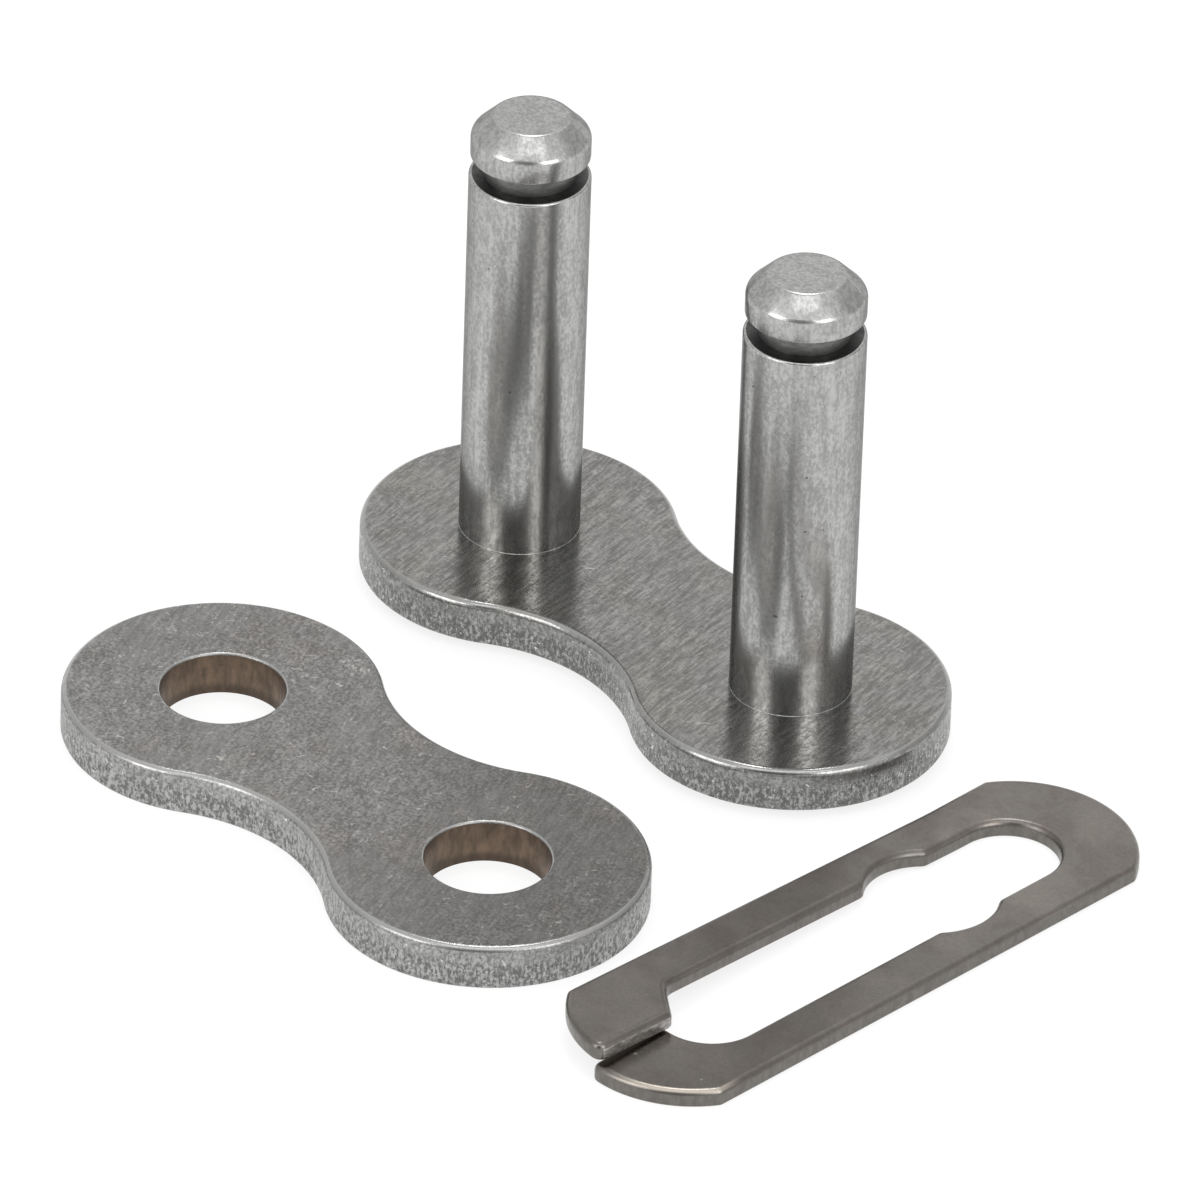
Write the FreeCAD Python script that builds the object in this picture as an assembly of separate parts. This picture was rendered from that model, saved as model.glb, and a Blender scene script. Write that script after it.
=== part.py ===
"""Chain connecting link of 12.7 mm pitch, taken apart and laid out.

Five solids: the pin plate with its two pressed and peened pins, the loose
cover plate, and the spring clip that locks the cover plate on the pins.
Millimetres. +Z is up, along the pins. X runs along the pitch, from the left
pin to the right pin. The origin is the centre of the laid-out set's footprint,
on the surface that it lies on.
"""
import FreeCAD
import Part
import math
import os

V = FreeCAD.Vector
UP = V(0, 0, 1)

# how near an edge lies to the place that it is looked for at
LEVEL_TOLERANCE = 1e-4
CORNER_TOLERANCE = 0.02
# the most that a wall's normal may lean out of the level plane
WALL_LEAN = 0.2

# plates, both pressed with the same outline
pitch = 12.7
plate_thickness = 1.5
plate_end_radius = 5.2
waist_half_width = 3.24
plate_top_chamfer = 0.16
plate_bottom_chamfer = 0.08
hole_top_chamfer = 0.15

# pins
pin_diameter = 3.97
cover_hole_clearance = 0.04
inner_link_room = 11.82
groove_diameter = 3.0
groove_clearance = 0.1
head_diameter = 3.9
head_land = 0.78
head_chamfer = 0.68
shaft_rim_chamfer = 0.1
head_rim_chamfer = 0.06

# the pins' shouldered seats in the pin plate, and their peened ends under it
seat_diameter = 3.6
rivet_height = 0.35
rivet_diameter = 4.5
rivet_rim_chamfer = 0.15
rivet_dimple_diameter = 1.6
rivet_dimple_depth = 0.12

# spring clip
clip_thickness = 0.6
slot_clearance = 0.17
slot_end_play = 0.7
clip_leg_width = 1.71
clip_end_radius = 3.87
closed_end_web = 2.65
split_end_web = 3.14
keyhole_clearance = 0.2
keyhole_offset = 3.5
keyhole_corner = 0.35
side_corner = 0.25
tip_corner = 0.3
nib_corner = 0.2
clip_edge_chamfer = 0.1

# at the split the far leg has sprung up and in, over the near leg's end
leg_rise = 0.78
leg_squeeze = 0.22
leg_bend_radius = 20.0
far_nib_angle = 52.0
far_nib_hollow = 0.7
far_cut_offset = 0.075
near_leg_lap = 0.45
sheet_margin = 1.0

# how the loose pieces lie beside the pin plate
plate_gap = 3.33
cover_shift = 0.56
cover_turn_angle = -1.22
clip_gap = 1.76
clip_shift = -0.27
clip_turn_angle = 91.0

pin_radius = pin_diameter / 2
seat_radius = seat_diameter / 2
head_radius = head_diameter / 2
groove_radius = groove_diameter / 2
groove_width = clip_thickness + groove_clearance
cover_hole_radius = pin_radius + cover_hole_clearance
slot_half = groove_radius + slot_clearance
clip_half_width = slot_half + clip_leg_width
keyhole_radius = head_radius + keyhole_clearance
clip_length = pitch + 2 * slot_half + slot_end_play + closed_end_web + split_end_web

PLATE_BASE = rivet_height
PLATE_TOP = PLATE_BASE + plate_thickness
GROOVE_BASE = PLATE_TOP + inner_link_room + plate_thickness
HEAD_BASE = GROOVE_BASE + groove_width
PIN_TOP = HEAD_BASE + head_land + head_chamfer

# in the clip's own frame its closed end points to +X, and its far leg lies at +Y
closed_end_x = clip_length / 2
slot_closed_x = closed_end_x - closed_end_web - slot_half
slot_split_x = -closed_end_x + split_end_web + slot_half
keyhole_x = slot_closed_x - keyhole_offset
# tall enough for the clip's plan to cut right through its bent sheet
plan_height = 2 * (clip_thickness + leg_rise + sheet_margin)


def edge_at(point, solid):
    """The upright edge of a prism that stands over a point of its plan."""
    for edge in solid.Edges:
        ends = [vertex.Point for vertex in edge.Vertexes]
        upright = len(ends) == 2 and abs(ends[0].z - ends[1].z) > CORNER_TOLERANCE
        if upright and math.hypot(ends[0].x - point.x, ends[0].y - point.y) < CORNER_TOLERANCE:
            return edge
    raise ValueError("no upright edge over %s" % point)


def rim_edges(solid, height):
    """All edges of a solid that lie in the level plane at a height."""
    found = []
    for edge in solid.Edges:
        box = edge.BoundBox
        if abs(box.ZMin - height) < LEVEL_TOLERANCE and abs(box.ZMax - height) < LEVEL_TOLERANCE:
            found.append(edge)
    return found


def circle_edges(solid, height, radius):
    """The round edges of a solid at a height that have a given radius."""
    return [edge for edge in rim_edges(solid, height)
            if hasattr(edge.Curve, "Radius") and abs(edge.Curve.Radius - radius) < LEVEL_TOLERANCE]


def plate_outline():
    """Two round ends joined by a waist, the arcs meeting smoothly."""
    half_pitch = pitch / 2
    waist_radius = ((half_pitch ** 2 + waist_half_width ** 2 - plate_end_radius ** 2)
                    / (2 * (plate_end_radius - waist_half_width)))
    waist_centre_y = waist_half_width + waist_radius
    reach = plate_end_radius / math.hypot(half_pitch, waist_centre_y)
    meet_x = half_pitch * (1 - reach)
    meet_y = waist_centre_y * reach
    right = Part.Arc(V(meet_x, -meet_y, 0), V(half_pitch + plate_end_radius, 0, 0), V(meet_x, meet_y, 0))
    far = Part.Arc(V(meet_x, meet_y, 0), V(0, waist_half_width, 0), V(-meet_x, meet_y, 0))
    left = Part.Arc(V(-meet_x, meet_y, 0), V(-half_pitch - plate_end_radius, 0, 0), V(-meet_x, -meet_y, 0))
    near = Part.Arc(V(-meet_x, -meet_y, 0), V(0, -waist_half_width, 0), V(meet_x, -meet_y, 0))
    return Part.Wire([arc.toShape() for arc in (right, far, left, near)])


def make_plate(hole_radius, open_holes):
    """A pressed plate: rolled-over upper edge, burr side down, two round holes."""
    plate = Part.Face(plate_outline()).extrude(UP * plate_thickness)
    plate = plate.makeChamfer(plate_top_chamfer, rim_edges(plate, plate_thickness))
    plate = plate.makeChamfer(plate_bottom_chamfer, rim_edges(plate, 0))
    for side in (-1, 1):
        plate = plate.cut(Part.makeCylinder(hole_radius, plate_thickness, V(side * pitch / 2, 0, 0)))
    if open_holes:
        plate = plate.makeChamfer(hole_top_chamfer, circle_edges(plate, plate_thickness, hole_radius))
        plate = plate.makeChamfer(plate_bottom_chamfer, circle_edges(plate, 0, hole_radius))
    return plate


def broken_profile(corners):
    """The points of a closed profile, each corner (x, z, break) cut back along both its sides."""
    points = []
    for index, (x, z, size) in enumerate(corners):
        corner = V(x, 0, z)
        if size == 0:
            points.append(corner)
            continue
        for neighbour in (corners[index - 1], corners[(index + 1) % len(corners)]):
            side = V(neighbour[0], 0, neighbour[1]) - corner
            points.append(corner + side.normalize() * size)
    return points


def make_pin():
    """A turned pin: peened foot, shouldered seat, long shaft, clip groove and chamfered head."""
    rivet_radius = rivet_diameter / 2
    points = broken_profile([
        (0, 0, 0),
        (rivet_radius, 0, rivet_rim_chamfer),
        (rivet_radius, PLATE_BASE, 0),
        (seat_radius, PLATE_BASE, 0),
        (seat_radius, PLATE_TOP, 0),
        (pin_radius, PLATE_TOP, 0),
        (pin_radius, GROOVE_BASE, shaft_rim_chamfer),
        (groove_radius, GROOVE_BASE, 0),
        (groove_radius, HEAD_BASE, 0),
        (head_radius, HEAD_BASE, head_rim_chamfer),
        (head_radius, HEAD_BASE + head_land, head_rim_chamfer),
        (head_radius - head_chamfer, PIN_TOP, head_rim_chamfer),
        (0, PIN_TOP, 0),
    ])
    wire = Part.makePolygon(points + points[:1])
    pin = Part.Face(wire).revolve(V(0, 0, 0), UP, 360)
    dimple_radius = rivet_dimple_diameter / 2
    ball_radius = (dimple_radius ** 2 + rivet_dimple_depth ** 2) / (2 * rivet_dimple_depth)
    return pin.cut(Part.makeSphere(ball_radius, V(0, 0, rivet_dimple_depth - ball_radius)))


def wire_prism(edges):
    """A tall prism over a closed outline, standing as far above z = 0 as below it."""
    face = Part.Face(Part.Wire([edge.toShape() for edge in edges]))
    prism = face.extrude(UP * plan_height)
    prism.translate(V(0, 0, -plan_height / 2))
    return prism


def clip_side_x(end_x, side):
    """Where an end arc of the clip, with its top at end_x, meets a side line."""
    return end_x - math.copysign(clip_end_radius - math.sqrt(clip_end_radius ** 2 - side ** 2), end_x)


def clip_outer():
    """The clip's outline, two straight sides and two arcs, with its side corners rounded."""
    far_side = clip_half_width - leg_squeeze
    closed_x = clip_side_x(closed_end_x, clip_half_width)
    near_tip = V(-closed_x, -clip_half_width, 0)
    far_tip = V(clip_side_x(-closed_end_x, far_side), far_side, 0)
    closed_near = V(closed_x, -clip_half_width, 0)
    closed_far = V(closed_x, clip_half_width, 0)
    outer = wire_prism([
        Part.LineSegment(near_tip, closed_near),
        Part.Arc(closed_near, V(closed_end_x, 0, 0), closed_far),
        Part.LineSegment(closed_far, far_tip),
        Part.Arc(far_tip, V(-closed_end_x, 0, 0), near_tip),
    ])
    corners = [near_tip, far_tip, closed_near, closed_far]
    return outer.makeFillet(side_corner, [edge_at(point, outer) for point in corners])


def slot_side(far):
    """A leg's slot side, from the closed end to the split. The far leg's leans inwards to its nib."""
    if not far:
        return V(slot_closed_x, -slot_half, 0), V(slot_split_x, -slot_half, 0)
    far_slot = slot_half - leg_squeeze
    nib_run = far_slot / math.tan(math.radians(far_nib_angle))
    return V(slot_closed_x, slot_half, 0), V(slot_split_x - slot_half + nib_run, far_slot, 0)


def clip_slot(far):
    """The slot as one leg has it: round at the split on the near leg, flanked on the far leg."""
    near_closed, near_split = slot_side(False)
    slot_end = V(slot_split_x - slot_half, 0, 0)
    if far:
        far_closed, far_split = slot_side(True)
        end = [Part.LineSegment(far_split, slot_end), Part.LineSegment(slot_end, near_split)]
    else:
        far_closed, far_split = V(slot_closed_x, slot_half, 0), V(slot_split_x, slot_half, 0)
        end = [Part.Arc(far_split, slot_end, near_split)]
    return wire_prism([
        Part.LineSegment(near_split, near_closed),
        Part.Arc(near_closed, V(slot_closed_x + slot_half, 0, 0), far_closed),
        Part.LineSegment(far_closed, far_split),
    ] + end)


def keyhole_corners(far):
    """Where the keyhole's circle crosses a leg's slot side."""
    centre = V(keyhole_x, 0, 0)
    start, end = slot_side(far)
    along = (end - start).normalize()
    foot = start + along * (centre - start).dot(along)
    reach = math.sqrt(keyhole_radius ** 2 - (foot - centre).Length ** 2)
    return [foot - along * reach, foot + along * reach]


def leg_corners(far):
    """The corners of a leg's plan that are rounded, each with its radius."""
    cut_y = far_cut_offset if far else near_leg_lap
    tip_x = -closed_end_x + clip_end_radius - math.sqrt(clip_end_radius ** 2 - cut_y ** 2)
    if far:
        nib_x = slot_split_x - slot_half + cut_y / math.tan(math.radians(far_nib_angle))
    else:
        nib_x = slot_split_x - math.sqrt(slot_half ** 2 - cut_y ** 2)
    corners = [(tip_corner, V(tip_x, cut_y, 0)), (nib_corner, V(nib_x, cut_y, 0))]
    if far:
        corners.append((far_nib_hollow, slot_side(True)[1]))
    return corners + [(keyhole_corner, corner) for corner in keyhole_corners(far)]


def leg_room(far):
    """The ground that a leg takes up: half the clip, and its own share of the split end."""
    reach = clip_length
    base = -plan_height / 2
    cut_y = far_cut_offset if far else near_leg_lap
    inner_y = 0 if far else -reach
    half = Part.makeBox(reach, reach, plan_height, V(slot_split_x, inner_y, base))
    end = Part.makeBox(reach, reach, plan_height, V(slot_split_x - reach, inner_y + cut_y, base))
    return half.fuse(end)


def far_sheet():
    """The far leg's sheet: flat at the closed end, then bent up to rise towards the split."""
    rise_run = slot_closed_x + closed_end_x
    angle = math.atan2(leg_rise, rise_run)
    bend_start = V(slot_closed_x, 0, 0)
    inner = leg_bend_radius - clip_thickness
    sheet_end = closed_end_x + sheet_margin

    def bend_point(radius, turn):
        return bend_start + V(-radius * math.sin(turn), 0, leg_bend_radius - radius * math.cos(turn))

    def leg_end(radius):
        return bend_point(radius, angle) + V(-rise_run, 0, rise_run * math.tan(angle))

    outline = [
        Part.LineSegment(V(sheet_end, 0, 0), bend_point(leg_bend_radius, 0)),
        Part.Arc(bend_point(leg_bend_radius, 0), bend_point(leg_bend_radius, angle / 2),
                 bend_point(leg_bend_radius, angle)),
        Part.LineSegment(bend_point(leg_bend_radius, angle), leg_end(leg_bend_radius)),
        Part.LineSegment(leg_end(leg_bend_radius), leg_end(inner)),
        Part.LineSegment(leg_end(inner), bend_point(inner, angle)),
        Part.Arc(bend_point(inner, angle), bend_point(inner, angle / 2), bend_point(inner, 0)),
        Part.LineSegment(bend_point(inner, 0), V(sheet_end, 0, clip_thickness)),
        Part.LineSegment(V(sheet_end, 0, clip_thickness), V(sheet_end, 0, 0)),
    ]
    return Part.Face(Part.Wire([edge.toShape() for edge in outline])).extrude(V(0, clip_length, 0))


def near_sheet():
    """The near leg's sheet, flat on the ground."""
    return Part.makeBox(2 * clip_length, 2 * clip_length, clip_thickness, V(-clip_length, -clip_length, 0))


def make_leg(far):
    """One leg of the clip with its half of the closed end, cut out of its sheet."""
    keyhole = Part.makeCylinder(keyhole_radius, plan_height, V(keyhole_x, 0, -plan_height / 2))
    opening = clip_slot(far).fuse(keyhole).removeSplitter()
    plan = clip_outer().cut(opening).common(leg_room(far))
    for radius, corner in leg_corners(far):
        plan = plan.makeFillet(radius, [edge_at(corner, plan)])
    return plan.common(far_sheet() if far else near_sheet())


def is_wall(face):
    """Whether a face stands upright, as the cut edges of the sheet do."""
    first, last, low, high = face.ParameterRange
    return abs(face.normalAt((first + last) / 2, (low + high) / 2).z) < WALL_LEAN


def make_clip():
    """The spring clip: slotted, split at one end, with a keyhole for a pin head."""
    clip = make_leg(True).fuse(make_leg(False)).removeSplitter()
    rims = []
    for edge in clip.Edges:
        walls = [is_wall(face) for face in clip.ancestorsOfType(edge, Part.Face)]
        if sorted(walls) == [False, True]:
            rims.append(edge)
    return clip.makeChamfer(clip_edge_chamfer, rims)


def place(shape, x, y, turn, base):
    """The one solid of a shape, turned about its own upright axis and set down at x, y."""
    if len(shape.Solids) != 1:
        raise ValueError("expected one solid, found %d" % len(shape.Solids))
    placed = shape.Solids[0].copy()
    placed.rotate(V(0, 0, 0), UP, turn)
    placed.translate(V(x, y, base))
    return placed


def build():
    """All five pieces in the set's frame, by node name."""
    cover_y = -(2 * plate_end_radius + plate_gap)
    clip_x = pitch / 2 + plate_end_radius + clip_gap + clip_half_width
    pieces = {
        "pin_plate": place(make_plate(seat_radius, False), 0, 0, 0, PLATE_BASE),
        "pin_left": place(make_pin(), -pitch / 2, 0, 0, 0),
        "pin_right": place(make_pin(), pitch / 2, 0, 0, 0),
        "cover_plate": place(make_plate(cover_hole_radius, True), cover_shift, cover_y, cover_turn_angle, 0),
        "spring_clip": place(make_clip(), clip_x, cover_y / 2 + clip_shift, clip_turn_angle, 0),
    }
    box = Part.makeCompound(list(pieces.values())).optimalBoundingBox()
    for piece in pieces.values():
        piece.translate(V(-(box.XMin + box.XMax) / 2, -(box.YMin + box.YMax) / 2, -box.ZMin))
    return pieces


def main():
    """Write one STEP file for each piece."""
    os.makedirs("parts", exist_ok=True)
    for name, piece in build().items():
        print(name, piece.ShapeType, piece.isValid(), round(piece.Volume, 4))
        piece.exportStep("parts/%s.step" % name)


main()
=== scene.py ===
"""The looks of a chain connecting link, taken apart and laid out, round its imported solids."""

import logging
import math
from dataclasses import dataclass
from enum import Enum
from typing import Callable, Sequence

import bmesh
import bpy
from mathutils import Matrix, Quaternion, Vector


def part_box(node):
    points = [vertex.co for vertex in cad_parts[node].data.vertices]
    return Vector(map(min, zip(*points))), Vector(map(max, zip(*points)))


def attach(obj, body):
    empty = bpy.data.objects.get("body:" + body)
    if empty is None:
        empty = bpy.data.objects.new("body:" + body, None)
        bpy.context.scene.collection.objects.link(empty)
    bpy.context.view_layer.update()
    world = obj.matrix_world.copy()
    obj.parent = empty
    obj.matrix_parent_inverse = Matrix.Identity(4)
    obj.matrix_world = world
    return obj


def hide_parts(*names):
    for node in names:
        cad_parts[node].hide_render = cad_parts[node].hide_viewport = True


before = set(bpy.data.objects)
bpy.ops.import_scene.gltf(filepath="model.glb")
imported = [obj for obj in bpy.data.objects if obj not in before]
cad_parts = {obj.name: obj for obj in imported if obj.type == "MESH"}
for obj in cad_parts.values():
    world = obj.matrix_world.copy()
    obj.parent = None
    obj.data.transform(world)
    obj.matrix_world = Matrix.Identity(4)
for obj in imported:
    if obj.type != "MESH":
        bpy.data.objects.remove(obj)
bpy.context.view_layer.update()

logging.basicConfig(level=logging.INFO, format="%(message)s")
log = logging.getLogger("connecting_link")

MM = 0.001
MERGE_DISTANCE = 0.002 * MM
PLACE_TOLERANCE = 0.004 * MM
HAIR = 0.0005 * MM
PLACE_DECIMALS = 4
STEEP = 0.3
LEVEL = 0.9
SMOOTH_ANGLE = 40.0
FLAT_WEIGHT = 60
FILLET_ROUNDS = 60
FEWEST_ARC_STEPS = 3
MIX_COLOURS = (6, 7)
MIX_RESULT = 2
BODY = "root"

Colour = tuple[float, float, float]
Corner = tuple[float, float]
Piece = bpy.types.Object
Face = bmesh.types.BMFace
Edge = bmesh.types.BMEdge
Socket = bpy.types.NodeSocket
Feed = Socket | float | Colour


class Slot(Enum):
    """The record's material slots."""

    PIN_PLATE = "pin_plate_steel"
    PIN = "pin_steel"
    COVER_PLATE = "cover_plate_steel"
    CLIP = "clip_steel"


class Turn(Enum):
    """Which way an arc of a plan runs, seen from above."""

    LEFT = 1
    RIGHT = -1


class Part(Enum):
    """The parts of a mesh that can be picked."""

    POINT = "VERT"
    EDGE = "EDGE"
    FACE = "FACE"


def flat(x: float, y: float) -> Vector:
    """A point of a plan, given in millimetres, in metres."""
    return Vector((x * MM, y * MM, 0))


def cross_of(a: Vector, b: Vector) -> float:
    """The upright part of the cross product of two level vectors."""
    return a.x * b.y - a.y * b.x


@dataclass(frozen=True)
class Side:
    """One side of a plan, straight or on an arc.

    Args:
        end: where the side ends, before its corner is rounded.
        centre: the arc's centre, or None for a straight side.
        turn: which way the arc runs.
        rounding: the radius of the rounded corner at its end, in metres.
    """

    end: Vector
    centre: Vector | None = None
    turn: Turn = Turn.LEFT
    rounding: float = 0.0

    def heading(self, start: Vector, point: Vector) -> Vector:
        """The direction of travel at a point of the side.

        Args:
            start: where the side begins.
            point: the point on the side.

        Returns:
            A unit vector.
        """
        if self.centre is None:
            return (self.end - start).normalized()
        spoke = (point - self.centre).normalized()
        return Vector((-spoke.y, spoke.x, 0)) * self.turn.value

    def nearest(self, start: Vector, point: Vector) -> Vector:
        """Drop a point onto the side's endless line or full circle.

        Args:
            start: where the side begins.
            point: the point to drop.

        Returns:
            The nearest place on the side.
        """
        if self.centre is None:
            along = (self.end - start).normalized()
            return start + along * (point - start).dot(along)
        return self.centre + (point - self.centre).normalized() * (self.end - self.centre).length


def fillet_centre(first: Side, first_start: Vector, second: Side) -> Vector:
    """Find the centre of the arc that rounds the corner between two sides.

    Args:
        first: the side that ends at the corner.
        first_start: where that side begins.
        second: the side that begins at the corner.

    Returns:
        The centre of the rounding arc.
    """
    corner, radius = first.end, first.rounding
    inward = second.heading(corner, corner) - first.heading(first_start, corner)
    centre = corner + inward.normalized() * radius
    for _ in range(FILLET_ROUNDS):
        for side, start in ((first, first_start), (second, corner)):
            foot = side.nearest(start, centre)
            centre = foot + (centre - foot).normalized() * radius
    return centre


class Plan:
    """A closed outline, drawn point by point and arc by arc, then raised to a solid."""

    def __init__(self, name: str, sides: Sequence[Side], step: float) -> None:
        """Keep the plan's sides.

        Args:
            name: the name of the piece that the plan becomes.
            sides: the sides in order, running left round the piece.
            step: the longest step along an arc, in millimetres.
        """
        self.name = name
        self.sides = list(sides)
        self.step = step * MM
        self.at = Vector()

    def run_to(self, point: Vector) -> None:
        """Draw a straight run.

        Args:
            point: where the run ends.
        """
        if (point - self.at).length > MERGE_DISTANCE:
            bpy.ops.mesh.extrude_vertices_move(TRANSFORM_OT_translate={"value": point - self.at})
            self.at = point

    def swing_to(self, point: Vector, centre: Vector, turn: Turn) -> None:
        """Draw an arc.

        Args:
            point: where the arc ends.
            centre: the arc's centre.
            turn: which way it runs.
        """
        first, last = self.at - centre, point - centre
        angle = math.atan2(cross_of(first, last), first.dot(last)) * turn.value
        if angle < 0:
            angle += 2 * math.pi
        steps = max(FEWEST_ARC_STEPS, math.ceil(angle * first.length / self.step))
        bpy.ops.mesh.spin(steps=steps, angle=-angle * turn.value, center=centre, axis=(0, 0, 1))
        self.at = point

    def raise_solid(self, height: float) -> Piece:
        """Draw the outline at z = 0, fill it and raise it.

        Args:
            height: how tall the solid is, in millimetres.

        Returns:
            The solid, still in edit mode.
        """
        starts = [side.end for side in self.sides[-1:] + self.sides[:-1]]
        corners = []
        for start, side, following in zip(starts, self.sides, self.sides[1:] + self.sides[:1]):
            if side.rounding:
                centre = fillet_centre(side, start, following)
                corners.append((side.nearest(start, centre), following.nearest(side.end, centre), centre))
            else:
                corners.append((side.end, side.end, None))
        self.at = corners[-1][1]
        piece = seed_point(self.name, self.at)
        for start, side, (leave, join, centre) in zip(starts, self.sides, corners):
            if side.centre is None:
                self.run_to(leave)
            else:
                self.swing_to(leave, side.centre, side.turn)
            if centre is not None:
                to_left = cross_of(side.heading(start, leave), centre - leave) > 0
                self.swing_to(join, centre, Turn.LEFT if to_left else Turn.RIGHT)
        bpy.ops.mesh.select_all(action="SELECT")
        bpy.ops.mesh.remove_doubles(threshold=MERGE_DISTANCE)
        bpy.ops.mesh.edge_face_add()
        bpy.ops.mesh.extrude_region_move(TRANSFORM_OT_translate={"value": (0, 0, height * MM)})
        face_outwards()
        return piece


def seed_point(name: str, point: Vector) -> Piece:
    """Start a piece as a single point, in edit mode.

    Args:
        name: the piece's name.
        point: where the point lies.

    Returns:
        The new piece.
    """
    bpy.ops.object.select_all(action="DESELECT")
    bpy.ops.mesh.primitive_plane_add(size=MM, location=point)
    bpy.ops.object.transform_apply(location=True, rotation=True, scale=True)
    piece = bpy.context.object
    piece.name = piece.data.name = name
    bpy.ops.object.mode_set(mode="EDIT")
    bpy.ops.mesh.select_mode(type="VERT")
    bpy.ops.mesh.select_all(action="SELECT")
    bpy.ops.mesh.merge(type="CENTER")
    return piece


def turn_solid(name: str, profile: Sequence[Corner], corners: int, centre: Vector) -> Piece:
    """Turn a solid from its profile, in edit mode.

    Args:
        name: the piece's name.
        profile: the radius and level of each of its corners from the foot up, in millimetres.
        corners: how many corners its circles have.
        centre: where its axis stands.

    Returns:
        The new piece.
    """
    width, level = profile[0]
    bpy.ops.object.select_all(action="DESELECT")
    bpy.ops.mesh.primitive_circle_add(vertices=corners, radius=width * MM, fill_type="NGON",
                                      location=(centre.x, centre.y, level * MM))
    piece = bpy.context.object
    piece.name = piece.data.name = name
    bpy.ops.object.mode_set(mode="EDIT")
    bpy.ops.mesh.select_all(action="SELECT")
    draw_out(profile, centre)
    face_outwards()
    return piece


def draw_out(profile: Sequence[Corner], centre: Vector) -> None:
    """Draw the selected round face out along a profile.

    Args:
        profile: the radius and level of each corner in millimetres, the face's own first.
        centre: where the axis stands.
    """
    for (width, level), (new_width, new_level) in zip(profile, profile[1:]):
        bpy.ops.mesh.extrude_region_move(TRANSFORM_OT_translate={"value": (0, 0, (new_level - level) * MM)})
        bpy.ops.transform.resize(value=(new_width / width, new_width / width, 1),
                                 center_override=(centre.x, centre.y, new_level * MM))


def face_outwards() -> None:
    """Turn every face of the piece in edit mode outwards."""
    bpy.ops.mesh.select_all(action="SELECT")
    bpy.ops.mesh.normals_make_consistent(inside=False)


def pick(piece: Piece, part: Part, wanted: Callable[..., bool]) -> None:
    """Select the points, edges or faces of the piece in edit mode that answer a question.

    Args:
        piece: the piece in edit mode.
        part: which of them are asked.
        wanted: the question.
    """
    bpy.ops.mesh.select_mode(type=part.value)
    bpy.ops.mesh.select_all(action="DESELECT")
    shape = bmesh.from_edit_mesh(piece.data)
    shape.normal_update()
    for found in {Part.POINT: shape.verts, Part.EDGE: shape.edges, Part.FACE: shape.faces}[part]:
        if wanted(found):
            found.select = True
    shape.select_flush_mode()
    bmesh.update_edit_mesh(piece.data)


def round_edges(piece: Piece, wanted: Callable[[Edge], bool], size: float, segments: int) -> None:
    """Round the edges that answer a question.

    Args:
        piece: the piece in edit mode.
        wanted: the question.
        size: how far the rounding reaches from each edge, in millimetres.
        segments: how many faces it has.
    """
    pick(piece, Part.EDGE, wanted)
    bpy.ops.mesh.bevel(offset_type="OFFSET", offset=size * MM, segments=segments, profile=0.5,
                       affect="EDGES", clamp_overlap=False)


def is_level_rim(edge: Edge, level: float) -> bool:
    """Ask whether an edge is the rim between a wall and a flat face.

    Args:
        edge: the edge.
        level: the height of the flat face, in millimetres.

    Returns:
        True if it is.
    """
    if any(abs(point.co.z - level * MM) > PLACE_TOLERANCE for point in edge.verts):
        return False
    slopes = sorted(abs(face.normal.z) for face in edge.link_faces)
    return len(slopes) == 2 and slopes[0] < STEEP and slopes[1] > LEVEL


def only(piece: Piece) -> None:
    """Make one object the only selected one, and the active one.

    Args:
        piece: the object.
    """
    bpy.ops.object.select_all(action="DESELECT")
    piece.select_set(True)
    bpy.context.view_layer.objects.active = piece


def leave_edit(piece: Piece) -> None:
    """Finish a mesh: normals outwards, its place in it, smooth shading with flats that look flat.

    Args:
        piece: the piece in edit mode.
    """
    bpy.ops.mesh.select_all(action="SELECT")
    bpy.ops.mesh.remove_doubles(threshold=HAIR)
    face_outwards()
    bpy.ops.object.mode_set(mode="OBJECT")
    only(piece)
    bpy.ops.object.transform_apply(location=True, rotation=True, scale=True)
    bpy.ops.object.shade_smooth_by_angle(angle=math.radians(SMOOTH_ANGLE))
    even = piece.modifiers.new("even", "WEIGHTED_NORMAL")
    even.keep_sharp = True
    even.weight = FLAT_WEIGHT
    bpy.ops.object.modifier_apply(modifier=even.name)


@dataclass(frozen=True)
class Pattern:
    """A noise pattern.

    Args:
        scale: features to the millimetre, all round or along each axis.
        detail: how many finer layers it has.
        roughness: how strong the finer layers are.
        twist: how far it is distorted.
    """

    scale: float | Colour
    detail: float = 3.0
    roughness: float = 0.6
    twist: float = 0.0


@dataclass(frozen=True)
class Step:
    """A smooth change of a result, from before a first value to after a last one."""

    first: float
    last: float
    before: float = 0.0
    after: float = 1.0


@dataclass(frozen=True)
class Mark:
    """Scattered marks: a noise pattern, and the step by which they show."""

    pattern: Pattern
    step: Step


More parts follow.
